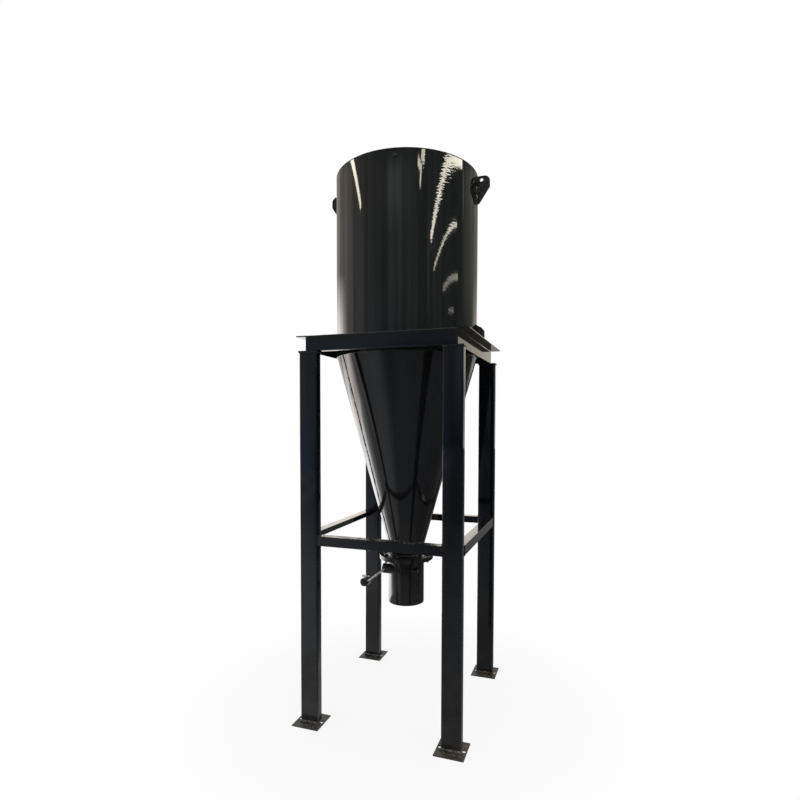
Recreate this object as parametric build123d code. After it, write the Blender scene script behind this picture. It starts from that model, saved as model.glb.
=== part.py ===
from build123d import *
import os

# Cyclone separator on a four-legged stand, in millimetres.
# The origin is on the floor under the drum's axis: +X to the right, +Y to the back, +Z up.

# Stand: four rectangular tubes on base plates
leg_outside_ring_x = 36.0
leg_outside_ring_y = 16.0
leg_width = 100.0
leg_depth = 50.0
leg_wall = 4.0
leg_corner_radius = 8.0
base_plate_side = 150.0
base_plate_thickness = 6.0
anchor_hole_radius = 9.0
anchor_hole_reach = 60.0
leg_cap_margin = 3.0
leg_cap_thickness = 6.0

# Ring on top of the legs: two tubes across, two angles along the sides
ring_underside = 1948.0
ring_height = 80.0
cross_beam_depth = 40.0
cross_beam_wall = 4.0
cross_beam_corner_radius = 5.0
side_angle_thickness = 6.0
side_angle_reach = 62.0
drum_to_ring_gap = 2.0

# Braces half way up the legs: equal angles
brace_top = 995.0
brace_side = 50.0
brace_thickness = 5.0
angle_root_radius = 5.0

# Drum with its top plate and gas outlet
drum_radius = 394.0
drum_wall = 5.0
drum_bottom = 1940.0
drum_top = 2925.0
top_plate_thickness = 6.0
outlet_radius = 200.0
outlet_wall = 4.0
outlet_rise = 70.0
outlet_drop = 500.0
outlet_flange_width = 35.0
outlet_flange_thickness = 10.0

# Rectangular inlet, tangential, at the back
inlet_inside_drum_edge = 24.0
inlet_width = 150.0
inlet_height = 320.0
inlet_below_top = 45.0
inlet_wall = 4.0
inlet_beyond_drum = 146.0
inlet_flange_width = 35.0
inlet_flange_thickness = 8.0

# Support ears and lifting lugs, left and right on the drum
ear_reach = 49.0
ear_height = 86.0
ear_shoulder_reach = 34.0
ear_shoulder_height = 68.0
ear_edge_height = 49.0
ear_gusset_thickness = 12.0
ear_pad_length = 100.0
ear_pad_thickness = 10.0
lug_thickness = 10.0
lug_reach = 72.0
lug_height = 145.0
lug_below_top = 23.0
lug_straight_height = 30.0
lug_foot_reach = 14.0
lug_corner_radius = 30.0
lug_eye_radius = 9.5
lug_eye_reach = 27.0
lug_eye_below_lug_top = 20.0

# Cone and the flange pair under it
cone_wall = 5.0
cone_bottom = 830.0
cone_bottom_radius = 87.0
flange_radius = 153.0
flange_thickness = 12.0
flange_bolt_count = 8
flange_bolt_circle = 127.0
flange_bolt_hole_radius = 7.0

# Discharge pipe with the seat of the flap: a plate with a round mouth, set back from the shaft
pipe_radius = 101.0
pipe_wall = 4.0
pipe_bottom = 555.0
seat_thickness = 8.0
seat_mouth_radius = 62.0
seat_mouth_back = 14.0
seat_gap = 0.5

# Flap valve: a bent rod is the flap's shaft and, outside, the lever of its counterweight
shaft_front = 70.0
shaft_z = 752.0
shaft_radius = 5.0
shaft_running_clearance = 0.05
flap_lap = 6.0
flap_thickness = 4.0
flap_rise = 13.0
flap_arm_width = 26.0
flap_arm_thickness = 7.0
flap_hub_radius = 11.0
flap_hub_width = 60.0
left_bearing_radius = 28.0
left_bearing_end = 113.0
right_bearing_radius = 13.0
right_bearing_end = 94.0
right_bearing_cap = 5.0
shaft_end_gap = 2.0
lever_x = -126.0
lever_bend_radius = 13.0
weight_radius = 22.0
weight_front = 331.0
weight_length = 63.0
weight_below_lever = 12.0
weight_nose = 7.0
screw_behind_nose = 14.0
screw_radius = 3.5
screw_rise = 10.0
screw_wing_width = 24.0
screw_wing_height = 11.0
screw_wing_thickness = 5.0

# Values that follow from the sizes above
ring_top = ring_underside + ring_height
ring_inner = drum_radius + drum_to_ring_gap
ring_front = ring_inner + cross_beam_depth
leg_outer_x = ring_inner + leg_outside_ring_x
leg_outer_y = ring_front + leg_outside_ring_y
leg_inner_x = leg_outer_x - leg_width
leg_inner_y = leg_outer_y - leg_depth
leg_centre_x = leg_outer_x - leg_width / 2
leg_centre_y = leg_outer_y - leg_depth / 2
leg_cap_underside = ring_underside - leg_cap_thickness
inlet_outer_wall = drum_radius - inlet_inside_drum_edge
inlet_end = drum_radius + inlet_beyond_drum
lid_underside = drum_top - top_plate_thickness
flange_split = cone_bottom - flange_thickness
pipe_top = flange_split - flange_thickness
pipe_inner_radius = pipe_radius - pipe_wall
cone_bottom_inner_radius = cone_bottom_radius - cone_wall
flap_radius = seat_mouth_radius + flap_lap
flap_underside = shaft_z + flap_rise
flap_top = flap_underside + flap_thickness
seat_underside = flap_top + seat_gap
bearing_bore = shaft_radius + shaft_running_clearance
weight_z = shaft_z - weight_below_lever

os.makedirs("parts", exist_ok=True)


def save(node, shape):
    export_step(shape, f"parts/{node}.step")


def block(x0, x1, y0, y1, z0, z1):
    """A box between two corners."""
    return Pos((x0 + x1) / 2, (y0 + y1) / 2, (z0 + z1) / 2) * Box(x1 - x0, y1 - y0, z1 - z0)


def upright(radius, z0, z1):
    """A round bar on the drum's axis."""
    return Pos(0, 0, (z0 + z1) / 2) * Cylinder(radius, z1 - z0)


def ring(outer, inner, z0, z1):
    """A flat ring or a tube on the drum's axis."""
    return upright(outer, z0, z1) - upright(inner, z0, z1)


def bar_along_y(radius, x, z, y0, y1):
    """A round bar that lies front to back."""
    return Pos(x, (y0 + y1) / 2, z) * Rot(90, 0, 0) * Cylinder(radius, y1 - y0)


def bar_along_x(radius, y, z, x0, x1):
    """A round bar that lies left to right."""
    return Pos((x0 + x1) / 2, y, z) * Rot(0, 90, 0) * Cylinder(radius, x1 - x0)


def angle_profile(leg_a, leg_b, thickness):
    """An angle's section: leg_a along +X, leg_b down along -Y, the outer corner at the origin."""
    section = make_face(
        Polyline(
            (0, 0),
            (leg_a, 0),
            (leg_a, -thickness),
            (thickness, -thickness),
            (thickness, -leg_b),
            (0, -leg_b),
            close=True,
        )
    )
    root = section.vertices().sort_by_distance((thickness, -thickness))[0]
    return fillet(root, angle_root_radius)


def angle_along_y(outer_x, inward, top, leg_a, leg_b, thickness, half_length):
    """An angle laid front to back, its flat leg on top, pointing to +X or -X from the outer corner."""
    section = angle_profile(leg_a, leg_b, thickness)
    laid = extrude(Plane.XZ * section, half_length, both=True)
    if inward < 0:
        laid = mirror(laid, Plane.YZ)
    return Pos(outer_x, 0, top) * laid


def make_legs():
    for side, sx in (("left", -1), ("right", 1)):
        for end, sy in (("front", -1), ("back", 1)):
            x = sx * leg_centre_x
            y = sy * leg_centre_y
            outer = RectangleRounded(leg_width, leg_depth, leg_corner_radius)
            bore_radius = leg_corner_radius - leg_wall
            bore = RectangleRounded(leg_width - 2 * leg_wall, leg_depth - 2 * leg_wall, bore_radius)
            height = leg_cap_underside - base_plate_thickness
            save(f"{end}_{side}_leg", Pos(x, y, base_plate_thickness) * extrude(outer - bore, height))

            holes = Pos(-anchor_hole_reach, 0) * Circle(anchor_hole_radius)
            holes += Pos(anchor_hole_reach, 0) * Circle(anchor_hole_radius)
            plate = extrude(Rectangle(base_plate_side, base_plate_side) - holes, base_plate_thickness)
            save(f"{end}_{side}_base_plate", Pos(x, y, 0) * plate)

            cap = Rectangle(leg_width + 2 * leg_cap_margin, leg_depth + 2 * leg_cap_margin)
            save(f"{end}_{side}_leg_cap", Pos(x, y, leg_cap_underside) * extrude(cap, leg_cap_thickness))


def make_ring():
    outer = RectangleRounded(cross_beam_depth, ring_height, cross_beam_corner_radius)
    bore_radius = cross_beam_corner_radius - cross_beam_wall
    bore_size = (cross_beam_depth - 2 * cross_beam_wall, ring_height - 2 * cross_beam_wall)
    bore = RectangleRounded(*bore_size, bore_radius)
    tube = extrude(Plane.YZ * (outer - bore), ring_inner, both=True)
    beam_y = ring_inner + cross_beam_depth / 2
    beam_z = ring_underside + ring_height / 2
    save("front_beam", Pos(0, -beam_y, beam_z) * tube)
    save("back_beam", Pos(0, beam_y, beam_z) * tube)

    for side, sx in (("left", -1), ("right", 1)):
        angle = angle_along_y(
            sx * ring_inner, sx, ring_top, side_angle_reach, ring_height, side_angle_thickness, ring_front
        )
        save(f"{side}_side_angle", angle)


def make_braces():
    section = angle_profile(brace_side, brace_side, brace_thickness)
    along_x = extrude(Plane.YZ * section, leg_inner_x, both=True)
    save("front_brace", Pos(0, -leg_outer_y, brace_top) * along_x)
    save("back_brace", Pos(0, leg_outer_y, brace_top) * mirror(along_x, Plane.XZ))
    for side, sx in (("left", -1), ("right", 1)):
        brace = angle_along_y(
            sx * leg_outer_x, -sx, brace_top, brace_side, brace_side, brace_thickness, leg_inner_y
        )
        save(f"{side}_brace", brace)


def inlet_block(shrink):
    """The inlet's outside, or its passage when shrunk by the wall, from the drum's middle to its end."""
    x0 = -inlet_outer_wall + shrink
    x1 = -inlet_outer_wall + inlet_width - shrink
    z1 = drum_top - inlet_below_top - shrink
    z0 = drum_top - inlet_below_top - inlet_height + shrink
    return block(x0, x1, 0, inlet_end, z0, z1)


def make_drum():
    shell = ring(drum_radius, drum_radius - drum_wall, drum_bottom, lid_underside)
    save("drum_shell", shell - inlet_block(inlet_wall))

    save("top_plate", ring(drum_radius, outlet_radius, lid_underside, drum_top))
    outlet_top = drum_top + outlet_rise
    outlet_bottom = drum_top - outlet_drop
    save("outlet_pipe", ring(outlet_radius, outlet_radius - outlet_wall, outlet_bottom, outlet_top))
    flange_edge = outlet_radius + outlet_flange_width
    flange_underside = outlet_top - outlet_flange_thickness
    save("outlet_flange", ring(flange_edge, outlet_radius, flange_underside, outlet_top))

    core = upright(drum_radius, drum_bottom, drum_top)
    save("inlet_duct", inlet_block(0) - inlet_block(inlet_wall) - core)
    flange = block(
        -inlet_outer_wall - inlet_flange_width,
        -inlet_outer_wall + inlet_width + inlet_flange_width,
        inlet_end - inlet_flange_thickness,
        inlet_end,
        drum_top - inlet_below_top - inlet_height - inlet_flange_width,
        drum_top - inlet_below_top + inlet_flange_width,
    )
    save("inlet_flange", flange - inlet_block(0))


def make_ears():
    """Upright gussets welded to the drum, each on a pad that stands on a side angle."""
    outer = drum_radius + ear_reach
    inside = drum_radius - ear_gusset_thickness
    outline = make_face(
        Polyline(
            (inside, ring_top),
            (outer, ring_top),
            (outer, ring_top + ear_edge_height),
            (drum_radius + ear_shoulder_reach, ring_top + ear_shoulder_height),
            (drum_radius, ring_top + ear_height),
            (inside, ring_top + ear_height),
            close=True,
        )
    )
    gusset = extrude(Plane.XZ * outline, ear_gusset_thickness / 2, both=True)
    half = ear_pad_length / 2
    pad = block(inside, outer, -half, half, ring_top, ring_top + ear_pad_thickness)
    ear = gusset + pad - upright(drum_radius, drum_bottom, drum_top)
    save("right_support_ear", ear)
    save("left_support_ear", mirror(ear, Plane.YZ))


def make_lugs():
    """Upright plates with a rounded top corner, an eye and a sloping foot."""
    top = drum_top - lug_below_top
    bottom = top - lug_height
    outer = drum_radius + lug_reach
    knee = top - lug_corner_radius - lug_straight_height
    outline = make_face(
        Polyline(
            (drum_radius - lug_thickness, bottom),
            (drum_radius + lug_foot_reach, bottom),
            (outer, knee),
            (outer, top),
            (drum_radius - lug_thickness, top),
            close=True,
        )
    )
    corner = outline.vertices().sort_by_distance((outer, top))[0]
    outline = fillet(corner, lug_corner_radius)
    eye = Pos(drum_radius + lug_eye_reach, top - lug_eye_below_lug_top) * Circle(lug_eye_radius)
    plate = extrude(Plane.XZ * (outline - eye), lug_thickness / 2, both=True)
    lug = plate - upright(drum_radius, bottom - lug_thickness, drum_top)
    save("right_lifting_lug", lug)
    save("left_lifting_lug", mirror(lug, Plane.YZ))


def make_cone():
    wall = make_face(
        Polyline(
            (cone_bottom_inner_radius, cone_bottom),
            (cone_bottom_radius, cone_bottom),
            (drum_radius, drum_bottom),
            (drum_radius - cone_wall, drum_bottom),
            close=True,
        )
    )
    save("cone", revolve(Plane.XZ * wall, Axis.Z))

    hole = upright(flange_bolt_hole_radius, pipe_top, cone_bottom)
    bolt_holes = [spot * hole for spot in PolarLocations(flange_bolt_circle, flange_bolt_count)]
    upper = ring(flange_radius, cone_bottom_inner_radius, flange_split, cone_bottom)
    lower = ring(flange_radius, pipe_inner_radius, pipe_top, flange_split)
    save("cone_flange", upper - bolt_holes)
    save("valve_flange", lower - bolt_holes)


def make_discharge():
    bore_end = right_bearing_end - right_bearing_cap
    shaft_bore = bar_along_x(bearing_bore, -shaft_front, shaft_z, -left_bearing_end, bore_end)
    pipe = ring(pipe_radius, pipe_inner_radius, pipe_bottom, pipe_top)
    save("discharge_pipe", pipe - shaft_bore)

    seat_top = seat_underside + seat_thickness
    seat = upright(pipe_inner_radius, seat_underside, seat_top)
    mouth = Pos(0, seat_mouth_back, 0) * upright(seat_mouth_radius, seat_underside, seat_top)
    save("seat_ring", seat - mouth)

    core = upright(pipe_radius, pipe_bottom, pipe_top)
    left = bar_along_x(left_bearing_radius, -shaft_front, shaft_z, -left_bearing_end, 0)
    save("left_bearing", left - core - shaft_bore)
    right = bar_along_x(right_bearing_radius, -shaft_front, shaft_z, 0, right_bearing_end)
    save("right_bearing", right - core - shaft_bore)


def make_flap_valve():
    shaft_end = right_bearing_end - right_bearing_cap - shaft_end_gap
    lever_end = weight_front - weight_nose
    path = FilletPolyline(
        (shaft_end, -shaft_front, shaft_z),
        (lever_x, -shaft_front, shaft_z),
        (lever_x, -lever_end, shaft_z),
        radius=lever_bend_radius,
    )
    rod = sweep(Plane(origin=path @ 0, z_dir=path % 0) * Circle(shaft_radius), path)
    save("lever_rod", rod)

    disc = Pos(0, seat_mouth_back, 0) * upright(flap_radius, flap_underside, flap_top)
    arm_half = flap_arm_width / 2
    arm_underside = flap_underside - flap_arm_thickness
    arm = block(-arm_half, arm_half, -shaft_front, seat_mouth_back, arm_underside, flap_underside)
    hub_half = flap_hub_width / 2
    hub = bar_along_x(flap_hub_radius, -shaft_front, shaft_z, -hub_half, hub_half)
    bore = bar_along_x(shaft_radius, -shaft_front, shaft_z, -hub_half, hub_half)
    save("flap", disc + arm + hub - bore)

    weight_back = weight_front - weight_length
    body = bar_along_y(weight_radius, lever_x, weight_z, -weight_front, -weight_back)
    rod_bore = bar_along_y(shaft_radius, lever_x, shaft_z, -lever_end, -weight_back)
    screw_y = screw_behind_nose - weight_front
    weight_top = weight_z + weight_radius
    stem_top = weight_top + screw_rise
    stem = Pos(lever_x, screw_y, (shaft_z + stem_top) / 2) * Cylinder(screw_radius, stem_top - shaft_z)
    save("counterweight", body - rod_bore - stem)

    wing = block(
        lever_x - screw_wing_width / 2,
        lever_x + screw_wing_width / 2,
        screw_y - screw_wing_thickness / 2,
        screw_y + screw_wing_thickness / 2,
        stem_top,
        stem_top + screw_wing_height,
    )
    save("clamp_screw", stem + wing - rod_bore)


make_legs()
make_ring()
make_braces()
make_drum()
make_ears()
make_lugs()
make_cone()
make_discharge()
make_flap_valve()
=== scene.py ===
"""The looks of the cyclone separator on its stand: gloss black paint on rolled sheet and sections."""
import math

import bpy
from mathutils import Matrix, Vector


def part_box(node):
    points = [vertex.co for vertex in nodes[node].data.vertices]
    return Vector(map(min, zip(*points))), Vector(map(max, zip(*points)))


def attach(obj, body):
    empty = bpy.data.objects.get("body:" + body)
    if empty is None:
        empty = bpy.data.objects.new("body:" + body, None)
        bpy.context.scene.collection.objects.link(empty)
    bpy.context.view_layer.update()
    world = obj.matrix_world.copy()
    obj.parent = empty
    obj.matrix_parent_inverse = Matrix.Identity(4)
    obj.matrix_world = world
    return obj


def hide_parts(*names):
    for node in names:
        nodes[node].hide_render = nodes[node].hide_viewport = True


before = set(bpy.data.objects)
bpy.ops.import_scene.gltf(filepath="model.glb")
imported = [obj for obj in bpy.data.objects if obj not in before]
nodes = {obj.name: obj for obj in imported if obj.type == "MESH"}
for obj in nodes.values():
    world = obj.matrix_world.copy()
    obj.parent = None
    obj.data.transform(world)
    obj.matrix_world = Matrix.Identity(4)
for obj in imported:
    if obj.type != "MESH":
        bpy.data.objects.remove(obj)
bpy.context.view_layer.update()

# Bodies, material slots and the names of what repeats
STAND = "separator"
VALVE = "flap_valve"
ENDS = ("front", "back")
SIDES = ("left", "right")
CORNERS = [f"{end}_{side}" for end in ENDS for side in SIDES]

# Camera that matches the photograph, found from the legs, plates, braces and drum
CAMERA_PLACE = Vector((0.99287, -2.87979, 1.5834))
CAMERA_YAW = math.radians(18.931)
CAMERA_PITCH = math.radians(-2.202)
CAMERA_ROLL = math.radians(0.147)
IMAGE_SIDE = 800
FOCAL_PIXELS = 533.21
IMAGE_CENTRE = (407.55, 442.78)
SENSOR = 36.0
FAR_CLIP = 200.0

# Sheet and tube. These and all lengths below are in metres
DRUM_WALL = 0.005
CONE_WALL = 0.005
INLET_WALL = 0.004
OUTLET_WALL = 0.004
PIPE_WALL = 0.004
CONE_FOOT = 0.087
LEG_CORNER = 0.008
BEAM_CORNER = 0.005
CORNER_STEPS = 6
DRUM_ROWS = 24
CONE_ROWS = 20
ROUND_STEPS = 192
PIPE_STEPS = 128

# Broken edges, and the angle from which an edge is sharp
LID_EDGE = 0.0015
FLANGE_EDGE = 0.0012
SHEET_EDGE = 0.001
NODE_EDGE = 0.0008
ROD_EDGE = 0.0006
SHARP = math.radians(40)
MERGE_DISTANCE = 0.00001
PARALLEL = 0.99

# Radius of each kind of weld bead
WELD = {
    "drum_seam": 0.0025,
    "lid": 0.005,
    "collar": 0.004,
    "cone_seam": 0.003,
    "cone_head": 0.0015,
    "cone_foot": 0.004,
    "spout": 0.005,
    "foot_wide": 0.0065,
    "foot_narrow": 0.0045,
    "leg_head": 0.0035,
    "brace_face": 0.0025,
    "brace_top": 0.003,
    "beam_face": 0.002,
    "beam_under": 0.003,
    "lug": 0.0065,
    "ear": 0.004,
    "inlet": 0.004,
    "inlet_flange": 0.0035,
}
BEAD_SIDES = 8
BEAD_PITCH = 0.004
BEAD_LUMPS = 0.0012
RING_LUMPS = 0.8 * BEAD_LUMPS
LUG_LUMPS = 0.0025
FOOT_LUMPS = 0.003
BEAD_SEAT = 0.001
WIDE_BEAD_SEAT = 0.004
BEAD_GAP = 0.004
CONE_HEAD_INSET = 0.001
CONE_FOOT_OUTSET = 0.002
CONE_FOOT_LIFT = 0.003
CONE_SEAM_AZIMUTH = math.radians(-130.6)
DRUM_SEAM_AZIMUTH = math.radians(60)
EAR_PAD = 0.01
EAR_HALF_RIB = 0.006
EAR_BEAD_START = 0.006
INLET_STEPS = 6
SEED_MIX = (977, 631, 389, 211)

# Plug on the drum's front
PLUG_AZIMUTH = math.radians(-80.3)
PLUG_HEIGHT = 2.887
PLUG_STEPS = 32
PLUG_PROFILE = [(0.011, -0.003), (0.011, 0.003), (0.0085, 0.0055)]

# Flange bolts with their washers, heads and nuts
BOLT_COUNT = 8
BOLT_CIRCLE = 0.127
BOLT_RADIUS = 0.006
SHANK_STEPS = 16
BOLT_TIP_RADIUS = 0.0045
BOLT_REACH = 0.017
BOLT_TIP = 0.0015
WASHER_RADIUS = 0.012
WASHER = 0.0025
WASHER_STEPS = 24
HEXAGON_RADIUS = 0.0104
HEAD_HEIGHT = 0.0075
NUT_HEIGHT = 0.01

# Shaft bearings, with shares of the bush's length for the groove and of its radius for the mouth
ROD_CLEARANCE = 0.0003
GROOVE_DEPTH = 0.0015
GROOVE = (0.8, 0.82, 0.87, 0.89)
BUSH_MOUTH = 0.55
BUSH_THROAT = 0.5
BUSH_RECESS = 0.003
BUSH_STEPS = 64
BOSS_CAP = 0.005
BOSS_EYE = 0.001
BOSS_STEPS = 48
SADDLE_SINK = 0.0005
SADDLE_HEIGHT = 0.2

# Bent rod, counterweight and wing screw
ROD_RADIUS = 0.005
ROD_BEND = 0.013
ROD_SIDES = 20
ROD_BEND_STEPS = 10
WEIGHT_NOSE = 0.007
WEIGHT_STEPS = 64
SHOULDER_INSET = 0.0045
SHOULDER_LENGTH = 0.0015
NOSE_INSET = 0.009
STEM_RADIUS = 0.0035
STEM_STEPS = 20
STEM_IN_WING = 0.002
WING_HEIGHT = 0.011
WING_THICKNESS = 0.005
WING_DIP = 0.005
WING_CUTS = 3
WING_EDGE = 0.0015
WING_EDGE_STEPS = 3
NEAR = 0.001

# Relief of the paint, in waves a metre, and where it was brushed
WAVE_SCALE = 3.2
WAVE_STRETCH = (1, 1, 0.45)
BRUSH_SCALE = 46.0
BRUSH_STRETCH = (1, 1, 2.6)
LUMP_SCALE = 85.0
PEEL_SCALE = 240.0
BRUSHED_SPOT = Vector((0.274, -0.283, 2.74))
BUMP_UNIT = 0.001
PAINT_IOR = 1.5
CLOUD_SCALE = 7.0
CLOUD_ROUGHNESS = 0.04
DUST_ROUGHNESS = 0.9
ROUGHEST = 0.85

# Colours of the paint, the dust, the earth and the zinc
DRUM_BLACK = (0.0066, 0.0086, 0.0082)
CONE_BLACK = (0.0042, 0.0046, 0.0054)
# The stand's black paint, its blue tint a painted reflection of the sky
STAND_BLACK_AND_SKY_TINT = (0.0026, 0.0034, 0.005)
VALVE_BLACK = (0.0055, 0.0055, 0.0057)
PLATE_BLACK = (0.012, 0.012, 0.0115)
WELD_BLACK = (0.004, 0.0042, 0.0046)
FOOT_BLACK = (0.012, 0.012, 0.012)
BRACKET_BLACK = (0.0115, 0.0115, 0.0105)
DUST_COLOUR = (0.18, 0.178, 0.168)
EARTH_COLOUR = (0.3, 0.21, 0.14)
ZINC_DULL = (0.6, 0.6, 0.58)
ZINC_BRIGHT = (0.86, 0.86, 0.84)

# Patches of dust and the spangle of zinc, in waves a metre
PATCH_SCALE = 14.0
SPECKLE_SCALE = 150.0
FILM_SCALE = 9.0
STREAK_SCALE = 26.0
SPANGLE_SCALE = 90.0
ZINC_HAZE_SCALE = 60.0
ZINC_HAZE = 0.2
ZINC_METALLIC = 0.3
ZINC_ROUGHNESS = 0.16

# Floor, studio light and the glowing cards round the object, seen only in the gloss paint, where they paint
# its reflections
FLOOR_RADIUS = 60.0
FLOOR_GREY = (0.86, 0.86, 0.86)
STUDIO_LIGHT = 0.5
SURROUND = 30.0
UNDER_REFLECTION_CARD = 1.3
NEAR_REFLECTION_CARD = 6.0
REFLECTION_CARD_LIFT = 0.004
STAGE_STEPS = 96
# Painted shade of folds in the glow of the reflection cards
PAINTED_FOLD_SCALE = 0.2
PAINTED_FOLD_STRETCH = (1, 1, 0.12)

# Strip lights: height, then both ends to the right of the drum and towards the camera, width and radiance
STRIP_COLOUR = (1.0, 0.94, 0.8)
STRIPS = {
    "right_strip": (8.0, (9.95, 5.2), (9.9, 13.4), 0.85, 16.0),
    "right_strip_bend": (8.0, (10.75, 1.3), (9.95, 5.6), 0.85, 15.0),
    "right_strip_end": (8.0, (10.85, -0.9), (10.75, 1.6), 0.85, 14.0),
    "far_right_strip": (8.0, (15.1, 1.7), (13.5, 15.2), 0.36, 14.0),
    "outer_right_strip": (8.0, (21.4, 1.2), (20.0, 12.6), 1.1, 4.0),
    "low_right_strip": (6.0, (18.6, 3.8), (17.6, 7.2), 0.5, 3.5),
    "middle_strip": (8.0, (4.3, 8.9), (4.3, 10.3), 0.9, 12.0),
    "middle_strip_bar": (8.0, (3.0, 10.65), (4.2, 10.75), 0.5, 12.0),
    "middle_strip_tip": (8.0, (4.05, 10.8), (4.1, 11.8), 0.4, 12.0),
    "left_strip": (8.0, (-9.6, -3.0), (-13.4, 3.2), 0.7, 14.0),
}

# Tones of the glowing surround, which paint the reflections, highlights and dark bands in each part's
# mirror: degrees to the right of the camera's side, then grey or red, green and blue
FOOT_TONES = [
    (-180, 1.0), (-126, 0.95), (-114, 0.5), (-80, 0.28), (-50, 0.2, 0.3, 0.46), (-30, 0.03, 0.05, 0.09),
    (20, 0.06), (132, 0.25), (140, 0.8), (180, 1.0),
]
HEAD_TONES = [
    (-180, 1.5), (-150, 1.1), (-124, 1.9), (-114, 0.5), (-80, 0.35), (-50, 0.24, 0.3, 0.4),
    (-36, 0.165, 0.215, 0.3), (20, 0.12), (132, 0.2), (144, 0.35), (180, 1.5),
]
RING_TONES = [
    (-180, 2.2, 2.0, 1.8), (-154, 1.2), (-130, 4.9, 4.55, 4.35), (-112, 0.8, 0.74, 0.72), (-80, 0.45),
    (-40, 0.2, 0.24, 0.31), (20, 0.22), (80, 0.12), (128, 0.2), (136, 0.85, 0.76, 0.62),
    (166, 1.0, 0.93, 0.84), (180, 2.2, 2.0, 1.8),
]
DRUM_TONES = [
    (-180, 0.6), (-151, 0.36, 0.33, 0.29), (-125, 0.72, 0.68, 0.63), (-78, 0.45), (-56, 0.27), (-34, 0.2),
    (-24, 0.36), (-14, 0.34), (-2, 0.23), (30, 0.21), (33, 0.5), (36, 0.2), (85, 0.13), (93, 0.07),
    (104, 0.36, 0.35, 0.29), (165, 0.33, 0.32, 0.26), (180, 0.6),
]
DRUM_HEAD_TONES = [
    (-180, 0.5), (-151, 0.36, 0.32, 0.26), (-120, 0.69, 0.61, 0.51), (-78, 0.42, 0.39, 0.34), (-52, 0.27),
    (-34, 0.26), (-26, 0.66, 0.69, 0.68), (-15, 0.66, 0.69, 0.68), (-7, 0.32), (12, 0.24), (85, 0.12),
    (96, 0.08), (98.5, 0.9, 0.88, 0.8), (101, 0.25, 0.24, 0.2), (106, 0.44, 0.43, 0.36),
    (165, 0.33, 0.32, 0.26), (180, 0.5),
]
CROWN_TONES = [
    (-180, 0.5), (-78, 0.36), (-48, 0.2), (60, 0.17), (92, 0.06), (140, 0.25, 0.24, 0.18), (180, 0.5),
]
SKY_TONES = [(-180, 0.9), (0, 0.6), (180, 0.9)]
UNDER_FLOOR_TONES = [(-180, 0.6), (-100, 0.4), (-46, 0.36), (-36, 0.2), (140, 0.18), (180, 0.6)]
NEAR_FLOOR_TONES = [
    (-180, 0.95), (-138, 2.9), (-115, 4.2), (-110, 1.9), (-91, 0.55), (-46, 0.4, 0.43, 0.48),
    (-30, 0.16, 0.17, 0.2), (130, 0.14), (170, 0.2), (180, 0.95),
]
FAR_FLOOR_TONES = [
    (-180, 0.9), (-138, 2.6, 2.45, 2.35), (-108, 3.9, 3.65, 3.5), (-99, 0.95, 0.88, 0.85), (-84, 0.5),
    (-44, 0.28, 0.34, 0.42), (-30, 0.1, 0.12, 0.15), (100, 0.06), (160, 0.13, 0.115, 0.09), (180, 0.9),
]
WALL_ROWS = [
    (0.0, FOOT_TONES), (3.6, HEAD_TONES), (5.0, RING_TONES), (6.5, RING_TONES), (10.5, DRUM_TONES),
    (13.0, DRUM_TONES), (15.0, DRUM_HEAD_TONES), (16.4, DRUM_HEAD_TONES), (17.6, CROWN_TONES),
    (20.0, CROWN_TONES), (40.0, SKY_TONES),
]


# Modelling helpers


def start_clean():
    """Leaves edit mode and deselects everything, so that an operator acts on the new piece only."""
    if bpy.context.object and bpy.context.object.mode != "OBJECT":
        bpy.ops.object.mode_set(mode="OBJECT")
    bpy.ops.object.select_all(action="DESELECT")


def use(piece):
    """Makes one piece the only selected and active one."""
    start_clean()
    piece.select_set(True)
    bpy.context.view_layer.objects.active = piece


def settle(piece, name):
    """Names a new piece and puts its place into its mesh."""
    piece.name = name
    piece.data.name = name
    bpy.ops.object.transform_apply(location=True, rotation=True, scale=True)
    return piece


def apply_modifier(piece, kind, **values):
    """Adds a modifier with these values and applies it."""
    use(piece)
    modifier = piece.modifiers.new(kind.lower(), kind)
    for key, value in values.items():
        setattr(modifier, key, value)
    bpy.ops.object.modifier_apply(modifier=modifier.name)


def cut_away(piece, cutter):
    """Cuts the shape of a cutter out of a piece and removes the cutter."""
    apply_modifier(piece, "BOOLEAN", object=cutter, operation="DIFFERENCE", solver="EXACT")
    bpy.data.objects.remove(cutter)


def smooth(piece, angle=32.0):
    """Shades a piece smooth, apart from edges sharper than the angle in degrees."""
    use(piece)
    bpy.ops.object.shade_smooth_by_angle(angle=math.radians(angle))


def break_edges(piece, width, segments=2):
    """Takes the sharpness off the edges."""
    apply_modifier(piece, "BEVEL", width=width, segments=segments, limit_method="ANGLE", angle_limit=SHARP)


def round_edges(piece, width):
    """Breaks the sharp edges and shades the rest smooth."""
    break_edges(piece, width)
    smooth(piece)


def ring_wall(inner, outer, low, high):
    """Profile of a flat ring between two radii and two heights."""
    return [(inner, low), (outer, low), (outer, high), (inner, high)]


def sheet_wall(outside, wall):
    """Profile of a rolled sheet: along its outside and back along its inside."""
    return outside + [(radius - wall, height) for radius, height in reversed(outside)]


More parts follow.
